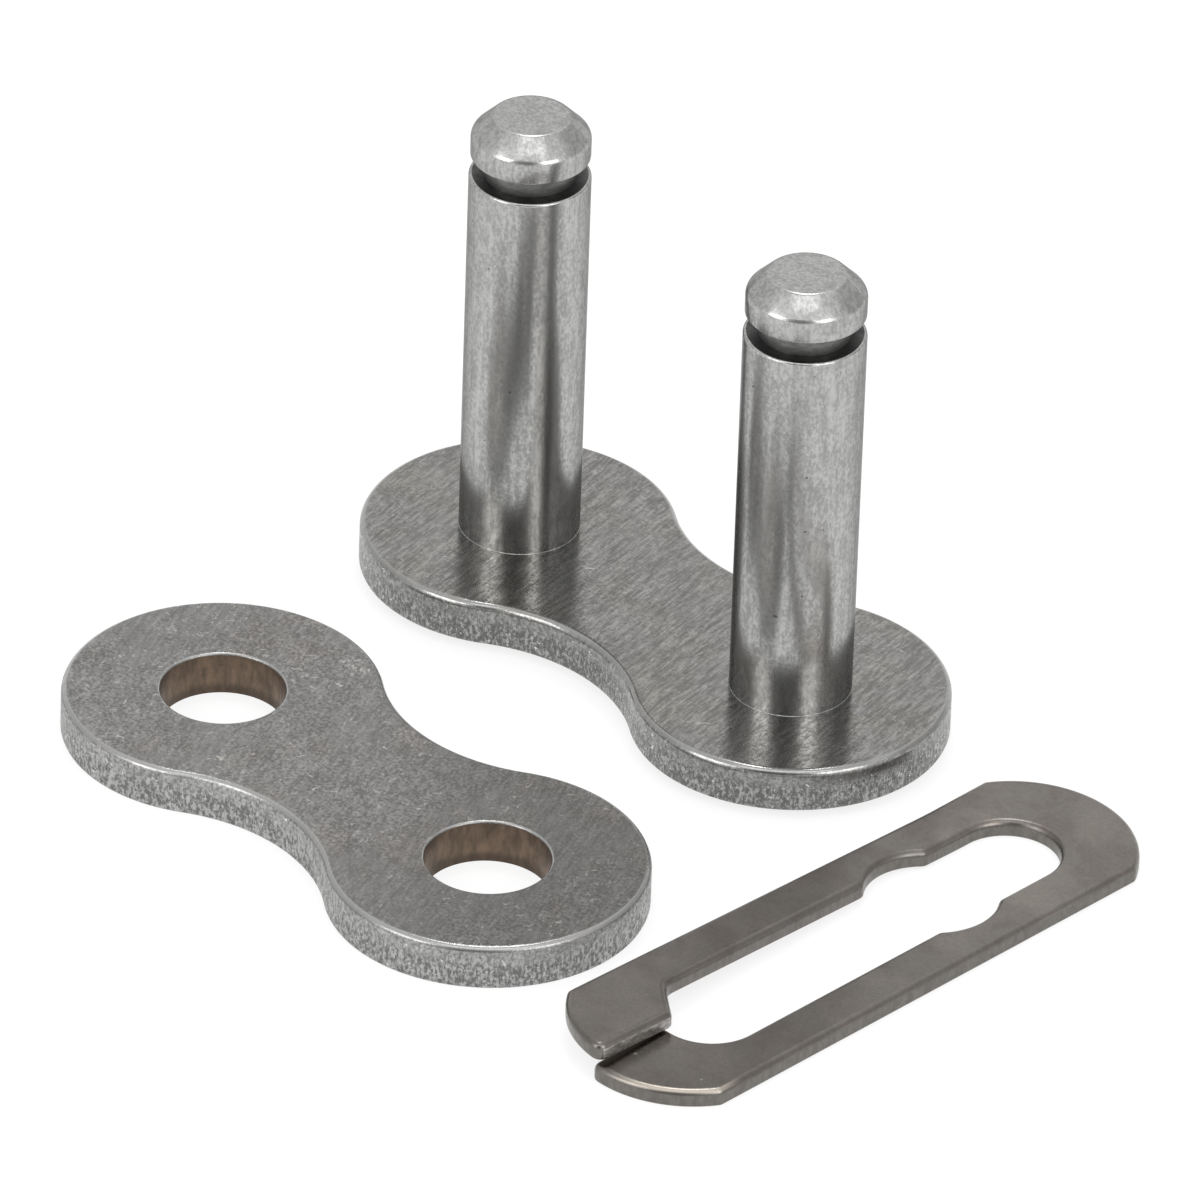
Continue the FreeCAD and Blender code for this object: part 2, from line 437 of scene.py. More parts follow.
class NodeBoard:
    """The node tree of a material or the world, with short calls to lay its nodes."""

    def __init__(self, owner: bpy.types.Material | bpy.types.World) -> None:
        """Start with an empty tree.

        Args:
            owner: the material or the world.
        """
        self.owner = owner
        owner.use_nodes = True
        self.tree = owner.node_tree
        self.tree.nodes.clear()

    def lay(self, kind: str, feeds: dict[str | int, Feed], **settings: object) -> bpy.types.Node:
        """Lay a node.

        Args:
            kind: the node's type, without the words ShaderNode before it.
            feeds: the output, number, vector or colour for each of its sockets.
            settings: its properties.

        Returns:
            The new node.
        """
        node = self.tree.nodes.new("ShaderNode" + kind)
        for key, value in settings.items():
            setattr(node, key, value)
        for key, value in feeds.items():
            socket = node.inputs[key]
            if isinstance(value, Socket):
                self.tree.links.new(value, socket)
            elif socket.type == "RGBA":
                socket.default_value = (*value, 1.0)
            else:
                socket.default_value = value
        return node

    def millimetres(self) -> Socket:
        """Object coordinates in millimetres."""
        place = self.lay("TexCoord", {}).outputs["Object"]
        return self.lay("VectorMath", {0: place, "Scale": 1 / MM}, operation="SCALE").outputs[0]

    def noise(self, place: Socket, pattern: Pattern, turn: float = 0.0) -> Socket:
        """Lay smooth noise, from 0 to 1.

        Args:
            place: the coordinates in millimetres.
            pattern: the pattern.
            turn: how far the coordinates turn about the upright axis first, in degrees.

        Returns:
            The noise.
        """
        scale = pattern.scale
        if isinstance(scale, tuple):
            turned = self.lay("Mapping", {"Vector": place, "Rotation": (0, 0, math.radians(turn))})
            place = self.lay("VectorMath", {0: turned.outputs[0], 1: scale}, operation="MULTIPLY").outputs[0]
            scale = 1.0
        return self.lay("TexNoise", {"Vector": place, "Scale": scale, "Detail": pattern.detail,
                                     "Roughness": pattern.roughness, "Distortion": pattern.twist}).outputs[0]

    def noises(self, place: Socket, *patterns: Pattern) -> list[Socket]:
        """Smooth noise of several patterns at the same place."""
        return [self.noise(place, pattern) for pattern in patterns]

    def step(self, value: Socket, step: Step) -> Socket:
        """Pass a value through a smooth step."""
        return self.lay("MapRange", {"Value": value, "From Min": step.first, "From Max": step.last,
                                     "To Min": step.before, "To Max": step.after},
                        interpolation_type="SMOOTHSTEP").outputs["Result"]

    def mark(self, place: Socket, mark: Mark, turn: float = 0.0) -> Socket:
        """How strongly a kind of mark shows at a place."""
        return self.step(self.noise(place, mark.pattern, turn), mark.step)

    def work_out(self, operation: str, first: Feed, second: Feed = 0.0) -> Socket:
        """Work out two values by arithmetic."""
        return self.lay("Math", {0: first, 1: second}, operation=operation).outputs[0]

    def times(self, first: Feed, second: Feed) -> Socket:
        """Multiply two values."""
        return self.work_out("MULTIPLY", first, second)

    def mix_of(self, patterns: Sequence[Socket], shares: Sequence[float]) -> Socket:
        """Add several patterns.

        Args:
            patterns: the patterns.
            shares: how much of each goes into the sum.

        Returns:
            The sum.
        """
        total: Feed = 0.0
        for pattern, share in zip(patterns, shares):
            total = self.work_out("ADD", self.times(pattern, share), total)
        return total

    def blend(self, share: Feed, first: Feed, second: Feed) -> Socket:
        """Blend two colours, the second one at the share given."""
        feeds = {0: share, **dict(zip(MIX_COLOURS, (first, second)))}
        return self.lay("Mix", feeds, data_type="RGBA").outputs[MIX_RESULT]

    def dim(self, colour: Feed, amount: Feed) -> Socket:
        """Multiply a colour by a grey value."""
        return self.lay("VectorMath", {0: colour, "Scale": amount}, operation="SCALE").outputs[0]

    def bump(self, height: Socket, depth: float, under: Socket | None = None) -> Socket:
        """Raise a surface by a height pattern.

        Args:
            height: the pattern from 0 to 1.
            depth: its full height in millimetres.
            under: the bump that lies under it, if any.

        Returns:
            The bent normal.
        """
        feeds = {"Strength": 1.0, "Distance": depth * MM, "Height": height}
        if under is not None:
            feeds["Normal"] = under
        return self.lay("Bump", feeds).outputs[0]

    def facing_up(self) -> Socket:
        """How far a surface faces up or down, from 0 on a wall to 1 on a flat."""
        return self.work_out("ABSOLUTE", self.along(self.lay("NewGeometry", {}).outputs["Normal"], "Z"))

    def along(self, vector: Socket, axis: str) -> Socket:
        """One coordinate of a vector, named by its axis."""
        return self.lay("SeparateXYZ", {0: vector}).outputs[axis]

    def camera_gloss_or_glass(self) -> Socket:
        """Ask what looks at the surface.

        Returns:
            A value that is 1 for the camera, gloss and glass, and 0 for soft light.
        """
        path = self.lay("LightPath", {}).outputs
        either = self.work_out("MAXIMUM", path["Is Camera Ray"], path["Is Glossy Ray"])
        return self.work_out("MAXIMUM", either, path["Is Transmission Ray"])

    def close(self, shader: bpy.types.Node, kind: str = "OutputMaterial") -> None:
        """Link the last shader to the tree's output."""
        self.lay(kind, {"Surface": shader.outputs[0]})

    def metal(self, colour: Feed, roughness: Feed, normal: Socket,
              edge_on: float = 1.0) -> bpy.types.Material:
        """Close the material with a metal shader.

        Args:
            colour: its colour.
            roughness: its roughness.
            normal: the bent normal.
            edge_on: how bright it is where it is seen edge-on.

        Returns:
            The finished material.
        """
        self.close(self.lay("BsdfPrincipled", {
            "Base Color": colour, "Roughness": roughness, "Normal": normal, "Metallic": 1.0,
            "Specular Tint": (edge_on,) * 3}))
        return self.owner


@dataclass(frozen=True)
class PlateFinish:
    """Pressed and tumbled plate steel: a mottled flat, a rolled edge and a rough sheared wall."""

    name: str
    face: Colour
    face_dark: Colour
    stain: Colour
    stain_dark: Colour
    score: Colour
    # speck_and_glint: the colour of bright specks and nicks, partly real marks and partly painted glints
    speck_and_glint: Colour
    flake: Colour
    # edge: a lighter colour on the rolled edge, partly burnished wear and partly a painted highlight
    edge: Colour
    wall_light: Colour
    wall_dark: Colour
    roughness: float
    grain_depth: float
    scratch_depth: float
    scratch_turn: float
    scratch_share: float
    speck_share: float
    calm_share: float
    score_share: float
    underside: float
    # painted shade: how bright the flats are painted at the +X end of the fade span
    painted_shade_end: float = 1.0
    fade: Corner = (-3.0, 6.5)
    grain: Pattern = Pattern(8.8, roughness=0.66)
    blotch: Pattern = Pattern(3.4)
    cloud: Pattern = Pattern(1.1, 2.0, 0.5)
    mottle_shares: Colour = (0.65, 0.2, 0.15)
    mottle: Step = Step(0.40, 0.60)
    calm: Mark = Mark(Pattern(0.3, 2.0, 0.5, 0.4), Step(0.46, 0.62))
    calm_tone: float = 0.55
    stained: Mark = Mark(Pattern(0.42, twist=0.5), Step(0.50, 0.64, 0.0, 0.45))
    brushed: Pattern = Pattern((9.5, 1.3, 3.0), roughness=0.7, twist=0.3)
    brush: Corner = (0.35, 0.7)
    scored: Mark = Mark(Pattern((6.0, 0.9, 2.0), 2.0, twist=0.5), Step(0.36, 0.46, 1.0, 0.0))
    rubbed: Mark = Mark(Pattern(0.35, 2.0, 0.5), Step(0.44, 0.58))
    specks: Mark = Mark(Pattern(4.2, 2.0, 0.7, 1.2), Step(0.60, 0.68))
    speckled: Mark = Mark(Pattern(0.8, 1.0, 0.5), Step(0.42, 0.60))
    nicks: Mark = Mark(Pattern((4.6, 0.8, 2.0), 2.0, twist=1.4), Step(0.735, 0.775))
    nick_turn: float = 62.0
    nick_press: float = -0.6
    shear: Pattern = Pattern((9.0, 9.0, 2.6), roughness=0.7)
    pits: Pattern = Pattern((9.5, 9.5, 6.5), roughness=0.7)
    torn_shares: Corner = (0.4, 0.6)
    torn: Step = Step(0.42, 0.58)
    torn_depth: float = 0.03
    torn_below: Corner = (0.7, 1.15)
    sheared_shares: Colour = (0.25, 0.35, 0.4)
    sheared: Step = Step(0.36, 0.64)
    flakes: Mark = Mark(Pattern(5.2, 2.0), Step(0.665, 0.72))
    wall_from: Step = Step(0.25, 0.5, 1.0, 0.0)
    wall_roughness: float = 0.08
    roll_from: Step = Step(0.4, 0.75)
    roll_to: Step = Step(0.93, 0.995, 1.0, 0.0)
    roll_share: float = 0.7
    roll_polish: float = -0.4
    roll_grain: Step = Step(0.0, 1.0, 1.0, 0.15)
    roughness_spread: float = 0.06

    def face_colour(self, board: NodeBoard, place: Socket, mottle: Socket, brushed: Socket,
                    nick: Socket) -> Socket:
        """Colour the flats: mottled, calmer and stained in patches, scratched and speckled, with painted
        shade towards +X.

        Args:
            board: the finish's nodes.
            place: the coordinates in millimetres.
            mottle: the fine mottle.
            brushed: the fine brush lines.
            nick: the small nicks.

        Returns:
            The colour.
        """
        colour = board.blend(mottle, self.face_dark, self.face)
        middle = tuple(dark + (light - dark) * self.calm_tone
                       for dark, light in zip(self.face_dark, self.face))
        colour = board.blend(board.times(board.mark(place, self.calm), self.calm_share), colour, middle)
        stain = board.blend(mottle, self.stain_dark, self.stain)
        colour = board.blend(board.mark(place, self.stained), colour, stain)
        brush = Step(*self.brush, 1.0 - self.scratch_share, 1.0 + self.scratch_share)
        colour = board.dim(colour, board.step(brushed, brush))
        rubbed = board.times(board.mark(place, self.rubbed), self.score_share)
        scored = board.times(board.mark(place, self.scored, self.scratch_turn), rubbed)
        colour = board.blend(scored, colour, self.score)
        # bright specks and nicks: partly real marks, partly painted glints
        speck_and_glint = board.times(board.mark(place, self.specks), board.mark(place, self.speckled))
        bright = board.work_out("MAXIMUM", board.times(speck_and_glint, self.speck_share), nick)
        colour = board.blend(bright, colour, self.speck_and_glint)
        # painted shade: the flats darken from x = fade[0] to fade[1] mm, down to painted_shade_end
        return board.dim(colour, board.step(board.along(place, "X"), Step(*self.fade, 1.0, self.painted_shade_end)))

    def make(self) -> bpy.types.Material:
        """Build the finish.

        Returns:
            The material.
        """
        board = NodeBoard(bpy.data.materials.new(self.name))
        place = board.millimetres()
        up = board.facing_up()
        grain, blotch, cloud, shear, pits = board.noises(
            place, self.grain, self.blotch, self.cloud, self.shear, self.pits)
        mottle = board.step(board.mix_of((grain, blotch, cloud), self.mottle_shares), self.mottle)
        brushed = board.noise(place, self.brushed, self.scratch_turn)
        nick = board.mark(place, self.nicks, self.scratch_turn + self.nick_turn)

        torn = board.step(board.mix_of((shear, pits), self.torn_shares), self.torn)
        sheared = board.step(board.mix_of((shear, pits, grain), self.sheared_shares), self.sheared)
        torn_from, torn_to = (self.underside + height for height in self.torn_below)
        lower = board.step(board.along(place, "Z"), Step(torn_from, torn_to, 1.0, 0.0))
        wall = board.blend(lower, board.blend(sheared, self.wall_dark, self.wall_light),
                           board.blend(torn, self.wall_dark, self.wall_light))
        wall = board.blend(board.mark(place, self.flakes), wall, self.flake)

        on_wall = board.step(up, self.wall_from)
        on_roll = board.times(board.step(up, self.roll_from), board.step(up, self.roll_to))
        colour = board.blend(on_wall, self.face_colour(board, place, mottle, brushed, nick), wall)
        # the rolled edge is painted lighter: partly burnished wear, partly a painted highlight
        colour = board.blend(board.times(on_roll, self.roll_share), colour, self.edge)
        dull, bright = self.roughness + self.roughness_spread, self.roughness - self.roughness_spread
        roughness = board.mix_of((board.step(mottle, Step(0.0, 1.0, dull, bright)), on_wall, on_roll),
                                 (1.0, self.wall_roughness, self.roll_polish * self.roughness))
        surface = board.bump(board.times(grain, board.step(on_roll, self.roll_grain)), self.grain_depth)
        scratches = board.work_out("ADD", brushed, board.times(nick, self.nick_press))
        surface = board.bump(scratches, self.scratch_depth, surface)
        surface = board.bump(board.times(torn, board.times(on_wall, lower)), self.torn_depth, surface)
        return board.metal(colour, roughness, surface)


@dataclass(frozen=True)
class HoleFinish:
    """The bore of a pressed hole, brown from heat and oil, and darker near its underside."""

    name: str = "hole_wall_brown"
    brown: Colour = (0.200, 0.145, 0.108)
    dark: Colour = (0.120, 0.092, 0.070)
    shade: Colour = (0.065, 0.052, 0.042)
    glint: Colour = (0.270, 0.190, 0.130)
    streak: Pattern = Pattern((4.0, 4.0, 1.6))
    tone: Step = Step(0.25, 0.75)
    patches: Mark = Mark(Pattern(1.7), Step(0.5, 0.7, 0.0, 0.35))
    low: Step = Step(0.15, 0.5, 0.6, 0.0)
    polish: Step = Step(0.2, 0.8, 0.5, 0.38)
    depth: float = 0.008

    def make(self) -> bpy.types.Material:
        """Build the finish.

        Returns:
            The material.
        """
        board = NodeBoard(bpy.data.materials.new(self.name))
        place = board.millimetres()
        streak = board.noise(place, self.streak)
        colour = board.blend(board.step(streak, self.tone), self.dark, self.brown)
        colour = board.blend(board.mark(place, self.patches), colour, self.glint)
        colour = board.blend(board.step(board.along(place, "Z"), self.low), colour, self.shade)
        return board.metal(colour, board.step(streak, self.polish), board.bump(streak, self.depth))


@dataclass(frozen=True)
class PinFinish:
    """Hardened pin steel, ground and tumbled, with small nicks on the shaft."""

    name: str = "pin_steel_tumbled"
    bright: Colour = (0.50, 0.50, 0.49)
    dull: Colour = (0.33, 0.33, 0.325)
    nick: Colour = (0.15, 0.15, 0.15)
    edge_on: float = 0.45
    grain: Pattern = Pattern((9.0, 9.0, 6.0), roughness=0.7)
    tumbled: Pattern = Pattern((2.4, 2.4, 1.2), twist=0.6)
    drawn: Pattern = Pattern((5.0, 5.0, 0.35))
    shares: Colour = (0.5, 0.25, 0.25)
    tone: Step = Step(0.40, 0.60)
    nicks: Mark = Mark(Pattern((3.2, 3.2, 3.8), 1.0, 0.4), Step(0.785, 0.805))
    shaft: Step = Step(14.5, 15.0, 1.0, 0.0)
    polish: Step = Step(0.35, 0.65, 0.28, 0.19)
    tumbled_depth: float = 0.002
    grain_depth: float = 0.0015
    nick_depth: float = 0.015

    def make(self) -> bpy.types.Material:
        """Build the finish.

        Returns:
            The material.
        """
        board = NodeBoard(bpy.data.materials.new(self.name))
        place = board.millimetres()
        grain, tumbled, drawn = board.noises(place, self.grain, self.tumbled, self.drawn)
        mix = board.mix_of((grain, tumbled, drawn), self.shares)
        nick = board.times(board.mark(place, self.nicks), board.step(board.along(place, "Z"), self.shaft))
        colour = board.blend(nick, board.blend(board.step(mix, self.tone), self.dull, self.bright), self.nick)
        surface = board.bump(grain, self.grain_depth, board.bump(tumbled, self.tumbled_depth))
        surface = board.bump(board.times(nick, -1.0), self.nick_depth, surface)
        return board.metal(colour, board.step(mix, self.polish), surface, self.edge_on)


@dataclass(frozen=True)
class GrooveFinish:
    """The turned groove under the pin's head, dark with oil and painted shade, darkest on its shelf under
    painted shadow.
    """

    name: str = "pin_groove_oiled_and_shaded"
    # the groove's colours are painted darker than the pin's steel: oil, and painted shade under the head
    steel: Colour = (0.24, 0.24, 0.235)
    oil_and_shade: Colour = (0.16, 0.16, 0.157)
    turned: Pattern = Pattern((3.0, 3.0, 7.0))
    tone: Step = Step(0.3, 0.7)
    painted_shelf_shadow: Step = Step(0.5, 0.9, 1.0, 0.4)
    polish: Step = Step(0.3, 0.7, 0.5, 0.38)
    depth: float = 0.002

    def make(self) -> bpy.types.Material:
        """Build the finish.

        Returns:
            The material.
        """
        board = NodeBoard(bpy.data.materials.new(self.name))
        turned = board.noise(board.millimetres(), self.turned)
        colour = board.blend(board.step(turned, self.tone), self.oil_and_shade, self.steel)
        # painted shadow: faces in the groove that face up or down are dimmed
        colour = board.dim(colour, board.step(board.facing_up(), self.painted_shelf_shadow))
        return board.metal(colour, board.step(turned, self.polish), board.bump(turned, self.depth))


@dataclass(frozen=True)
class ClipFinish:
    """Tempered spring steel: smooth, warm grey in clouds, with a painted sheen towards the closed end and a
    painted highlight at the near tip.
    """

    name: str = "clip_steel_tempered"
    warm: Colour = (0.212, 0.191, 0.172)
    cool: Colour = (0.152, 0.136, 0.124)
    wall: Colour = (0.175, 0.166, 0.154)
    grey: Colour = (0.176, 0.170, 0.160)
    nick: Colour = (0.44, 0.41, 0.37)
    # painted_tip_highlight: a painted highlight on the near tip's rolled edge
    painted_tip_highlight: Colour = (0.52, 0.47, 0.41)
    cloud: Pattern = Pattern(0.45, roughness=0.5)
    tone: Step = Step(0.35, 0.65)
    tinge: Mark = Mark(Pattern(0.85, twist=0.8), Step(0.44, 0.60, 0.0, 0.6))
    grain: Pattern = Pattern(8.0)
    grain_tone: Step = Step(0.3, 0.7, 0.93, 1.07)
    grain_depth: float = 0.002
    # painted sheen: the clip's colour grows lighter from the split end to the closed end
    painted_sheen_lengthwise: Step = Step(-9.0, 8.0, 0.88, 1.08)
    nicks: Mark = Mark(Pattern((2.6, 2.0, 2.0), 1.0, 0.4), Step(0.785, 0.805))
    nick_turn: float = 25.0
    wall_from: Step = Step(0.2, 0.5, 1.0, 0.0)
    roll_from: Step = Step(0.45, 0.75)
    roll_to: Step = Step(0.93, 0.995, 1.0, 0.0)
    tip_along: Step = Step(-9.4, -8.4, 0.75, 0.0)
    tip_across: Step = Step(12.6, 14.0)
    streak: Pattern = Pattern((5.0, 5.0, 2.5), roughness=0.65)
    streak_tone: Step = Step(0.3, 0.7, 0.85, 1.12)
    streak_depth: float = 0.012
    polish: Step = Step(0.3, 0.7, 0.34, 0.26)

    def make(self) -> bpy.types.Material:
        """Build the finish.

        Returns:
            The material.
        """
        board = NodeBoard(bpy.data.materials.new(self.name))
        place = board.millimetres()
        across, along = board.along(place, "X"), board.along(place, "Y")
        up = board.facing_up()
        cloud, grain, streak = board.noises(place, self.cloud, self.grain, self.streak)
        colour = board.blend(board.step(cloud, self.tone), self.cool, self.warm)
        colour = board.blend(board.mark(place, self.tinge), colour, self.grey)
        # the grain darkens at random; painted_sheen_lengthwise paints a sheen, lighter towards the closed end
        for tone in (board.step(grain, self.grain_tone), board.step(along, self.painted_sheen_lengthwise)):
            colour = board.dim(colour, tone)
        colour = board.blend(board.mark(place, self.nicks, self.nick_turn), colour, self.nick)
        on_roll = board.times(board.step(up, self.roll_from), board.step(up, self.roll_to))
        # painted highlight: the near tip's rolled edge is painted lighter
        at_tip = board.times(board.step(along, self.tip_along), board.step(across, self.tip_across))
        colour = board.blend(board.times(on_roll, at_tip), colour, self.painted_tip_highlight)
        on_wall = board.step(up, self.wall_from)
        colour = board.blend(on_wall, colour, board.dim(self.wall, board.step(streak, self.streak_tone)))
        surface = board.bump(grain, self.grain_depth)
        surface = board.bump(board.times(streak, on_wall), self.streak_depth, surface)
        return board.metal(colour, board.step(cloud, self.polish), surface)


@dataclass(frozen=True)
class CutFinish:
    """The sheared faces where the clip is split: bare, lighter and streaked along the cut."""

    name: str = "clip_cut_face"
    light: Colour = (0.58, 0.56, 0.54)
    dark: Colour = (0.27, 0.26, 0.25)
    streak: Pattern = Pattern((3.0, 3.0, 7.0), 4.0, 0.7)
    tone: Step = Step(0.35, 0.65)
    roughness: float = 0.42
    depth: float = 0.02

    def make(self) -> bpy.types.Material:
        """Build the finish.

        Returns:
            The material.
        """
        board = NodeBoard(bpy.data.materials.new(self.name))
        streak = board.noise(board.millimetres(), self.streak)
        colour = board.blend(board.step(streak, self.tone), self.dark, self.light)
        return board.metal(colour, self.roughness, board.bump(streak, self.depth))


class LinkPiece:
    """A piece of the link, modelled and dressed about its own origin."""

    def build(self) -> Piece:
        """Model the piece."""
        raise NotImplementedError

    def takes_second_finish(self, face: Face) -> bool:
        """Ask which finish a face has.

        Args:
            face: a face of the piece about its own origin.

        Returns:
            True if it has the second of the piece's finishes.
        """
        raise NotImplementedError

    def dressed(self, finishes: Sequence[bpy.types.Material]) -> Piece:
        """Model the piece and give its faces their finishes.

        Args:
            finishes: its materials, the main one first.

        Returns:
            The piece.
        """
        piece = self.build()
        for finish in finishes:
            piece.data.materials.append(finish)
        only(piece)
        if len(finishes) > 1:
            bpy.ops.object.mode_set(mode="EDIT")
            pick(piece, Part.FACE, self.takes_second_finish)
            piece.active_material_index = 1
            bpy.ops.object.material_slot_assign()
            bpy.ops.object.mode_set(mode="OBJECT")
        return piece


def copy_of(piece: Piece, name: str) -> Piece:
    """Copy a piece, the copy with its own mesh.

    Args:
        piece: the piece.
        name: the copy's name.

    Returns:
        The copy.
    """
    only(piece)
    bpy.ops.object.duplicate(linked=False)
    copy = bpy.context.object
    copy.name = copy.data.name = name
    return copy


def set_down(piece: Piece, place: Vector, turn: float, node: str) -> None:
    """Lay a dressed piece in its place, where it stands for its CAD node.

    Args:
        piece: the piece about its own origin.
        place: where that origin goes.
        turn: how far the piece turns to the left about it, in degrees.
        node: the CAD node.
    """
    only(piece)
    piece.rotation_euler[2] = math.radians(turn)
    piece.location = place
    bpy.ops.object.transform_apply(location=True, rotation=True, scale=True)
    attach(piece, BODY)
    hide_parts(node)
    log.info("%s: %d faces", piece.name, len(piece.data.polygons))


@dataclass
class LinkPlate(LinkPiece):
    """A pressed plate of the link, with two round holes. Sizes are in millimetres."""

    name: str
    hole_radius: float
    hole_lip: float
    pitch: float = 12.7
    thickness: float = 1.5
    end_radius: float = 5.2
    waist_half_width: float = 3.24
    top_roll: float = 0.24
    top_roll_faces: int = 6
    burr_break: float = 0.08
    burr_faces: int = 2
    arc_step: float = 0.22
    hole_corners: int = 96
    lip_steps: int = 6
    drill_reach: float = 1.0
    wall_margin: float = 0.02

    def outline(self) -> list[Side]:
        """Lay out the plate's four arcs.

        Returns:
            The sides of the plan, from the right end round to the left.
        """
        half = self.pitch / 2
        waist = ((half ** 2 + self.waist_half_width ** 2 - self.end_radius ** 2)
                 / (2 * (self.end_radius - self.waist_half_width)))
        waist_y = self.waist_half_width + waist
        reach = self.end_radius / math.hypot(half, waist_y)
        x, y = half * (1 - reach), waist_y * reach
        return [
            Side(flat(x, y), flat(half, 0), Turn.LEFT),
            Side(flat(-x, y), flat(0, waist_y), Turn.RIGHT),
            Side(flat(-x, -y), flat(-half, 0), Turn.LEFT),
            Side(flat(x, -y), flat(0, -waist_y), Turn.RIGHT),
        ]

    def hole_centres(self) -> tuple[Vector, Vector]:
        """The centres of the left and the right hole."""
        return flat(-self.pitch / 2, 0), flat(self.pitch / 2, 0)

    def drill_profile(self) -> list[Corner]:
        """Draw the tool that cuts a hole, flared where the hole's upper lip is rolled in.

        Returns:
            The radius and level of each corner of the tool.
        """
        radius, lip, top = self.hole_radius, self.hole_lip, self.thickness
        profile = [(radius, -self.drill_reach), (radius, top - lip)]
        if lip:
            for step in range(1, self.lip_steps + 1):
                angle = math.pi / 2 * step / self.lip_steps
                profile.append((radius + lip * (1 - math.cos(angle)), top - lip + lip * math.sin(angle)))
        return [*profile, (profile[-1][0], top + self.drill_reach)]

    def build(self) -> Piece:
        """Model the plate about its own centre, standing on z = 0.

        Returns:
            The plate.
        """
        plate = Plan(self.name, self.outline(), self.arc_step).raise_solid(self.thickness)
        for level, size, faces in ((self.thickness, self.top_roll, self.top_roll_faces),
                                   (0.0, self.burr_break, self.burr_faces)):
            round_edges(plate, lambda edge: is_level_rim(edge, level), size, faces)
        bpy.ops.object.mode_set(mode="OBJECT")
        for centre in self.hole_centres():
            drill = turn_solid("drill", self.drill_profile(), self.hole_corners, centre)
            bpy.ops.object.mode_set(mode="OBJECT")
            only(plate)
            cut = plate.modifiers.new("hole", "BOOLEAN")
            cut.operation = "DIFFERENCE"
            cut.solver = "EXACT"
            cut.object = drill
            bpy.ops.object.modifier_apply(modifier=cut.name)
            bpy.data.objects.remove(drill)
        bpy.ops.object.mode_set(mode="EDIT")
        leave_edit(plate)
        return plate

    def takes_second_finish(self, face: Face) -> bool:
        """Ask whether a face is on the wall of a hole.

        Args:
            face: a face of the piece about its own origin.

        Returns:
            True if it is.
        """
        middle = face.calc_center_median()
        out = min(math.hypot(middle.x - centre.x, middle.y - centre.y) for centre in self.hole_centres())
        return abs(face.normal.z) < STEEP and out < (self.hole_radius + self.wall_margin) * MM


@dataclass
class Pin(LinkPiece):
    """A turned pin, from its peened foot to its chamfered head. Sizes are in millimetres."""

    name: str
    radius: float = 1.985
    seat_radius: float = 1.8
    groove_radius: float = 1.5
    head_radius: float = 1.95
    foot_radius: float = 2.25
    plate_base: float = 0.35
    plate_top: float = 1.85
    groove_base: float = 15.17
    head_base: float = 15.87
    head_land: float = 0.78
    head_chamfer: float = 0.68
    foot_round: float = 0.15
    foot_seam: float = 0.012
    shaft_round: float = 0.1
    head_round: float = 0.07
    land_round: float = 0.13
    round_faces: int = 4
    dimple_radius: float = 0.8
    dimple_depth: float = 0.12
    dimple_steps: int = 6
    corners: int = 144

    def __post_init__(self) -> None:
        """Work out the head's upper levels and its flat."""
        self.land_top = self.head_base + self.head_land
        self.top = self.land_top + self.head_chamfer
        self.flat_radius = self.head_radius - self.head_chamfer

    def profile(self) -> list[Corner]:
        """List the corners of the pin's profile, from the foot up.

        Returns:
            The radius and level of each corner.
        """
        return [
            (self.foot_radius, 0.0),
            (self.foot_radius, self.plate_base),
            (self.seat_radius, self.plate_base),
            (self.seat_radius, self.plate_top),
            (self.radius + self.foot_seam, self.plate_top),
            (self.radius, self.plate_top + self.foot_seam),
            (self.radius, self.groove_base),
            (self.groove_radius, self.groove_base),
            (self.groove_radius, self.head_base),
            (self.head_radius, self.head_base),
            (self.head_radius, self.land_top),
            (self.flat_radius, self.top),
        ]

    def round_rim(self, pin: Piece, radius: float, level: float, size: float) -> None:
        """Round one rim of the pin.

        Args:
            pin: the pin in edit mode.
            radius: the rim's radius.
            level: the rim's level.
            size: how far the rounding reaches.
        """
        def on_rim(edge: Edge) -> bool:
            """Whether an edge is on the rim."""
            return all(abs(point.co.z - level * MM) < PLACE_TOLERANCE
                       and abs(math.hypot(point.co.x, point.co.y) - radius * MM) < PLACE_TOLERANCE
                       for point in edge.verts)

        round_edges(pin, on_rim, size, self.round_faces)

    def press_dimple(self, pin: Piece) -> None:
        """Press the shallow hollow into the peened foot.

        Args:
            pin: the pin in edit mode.
        """
        ball = (self.dimple_radius ** 2 + self.dimple_depth ** 2) / (2 * self.dimple_depth)
        profile = [(self.foot_radius - self.foot_round, 0.0)]
        for step in range(self.dimple_steps):
            radius = self.dimple_radius * (1 - step / self.dimple_steps)
            profile.append((radius, math.sqrt(ball ** 2 - radius ** 2) - (ball - self.dimple_depth)))
        pick(pin, Part.FACE, lambda face: face.normal.z < -LEVEL
             and abs(face.calc_center_median().z) < PLACE_TOLERANCE)
        draw_out(profile, Vector())

    def build(self) -> Piece:
        """Model the pin about its own axis, standing on z = 0.

        Returns:
            The pin.
        """
        pin = turn_solid(self.name, self.profile(), self.corners, Vector())
        self.round_rim(pin, self.foot_radius, 0.0, self.foot_round)
        self.round_rim(pin, self.radius, self.groove_base, self.shaft_round)
        self.round_rim(pin, self.head_radius, self.head_base, self.head_round)
        self.round_rim(pin, self.head_radius, self.land_top, self.land_round)
        self.round_rim(pin, self.flat_radius, self.top, self.head_round)
        self.press_dimple(pin)
        leave_edit(pin)
        return pin

    def takes_second_finish(self, face: Face) -> bool:
        """Ask whether a face is inside the groove for the clip.

        Args:
            face: a face of the piece about its own origin.

        Returns:
            True if it is.
        """
        level = face.calc_center_median().z
        reach = max(math.hypot(point.co.x, point.co.y) for point in face.verts)
        return (self.groove_base * MM - PLACE_TOLERANCE < level < self.head_base * MM + PLACE_TOLERANCE
                and reach < (self.head_radius - self.head_round / 2) * MM)


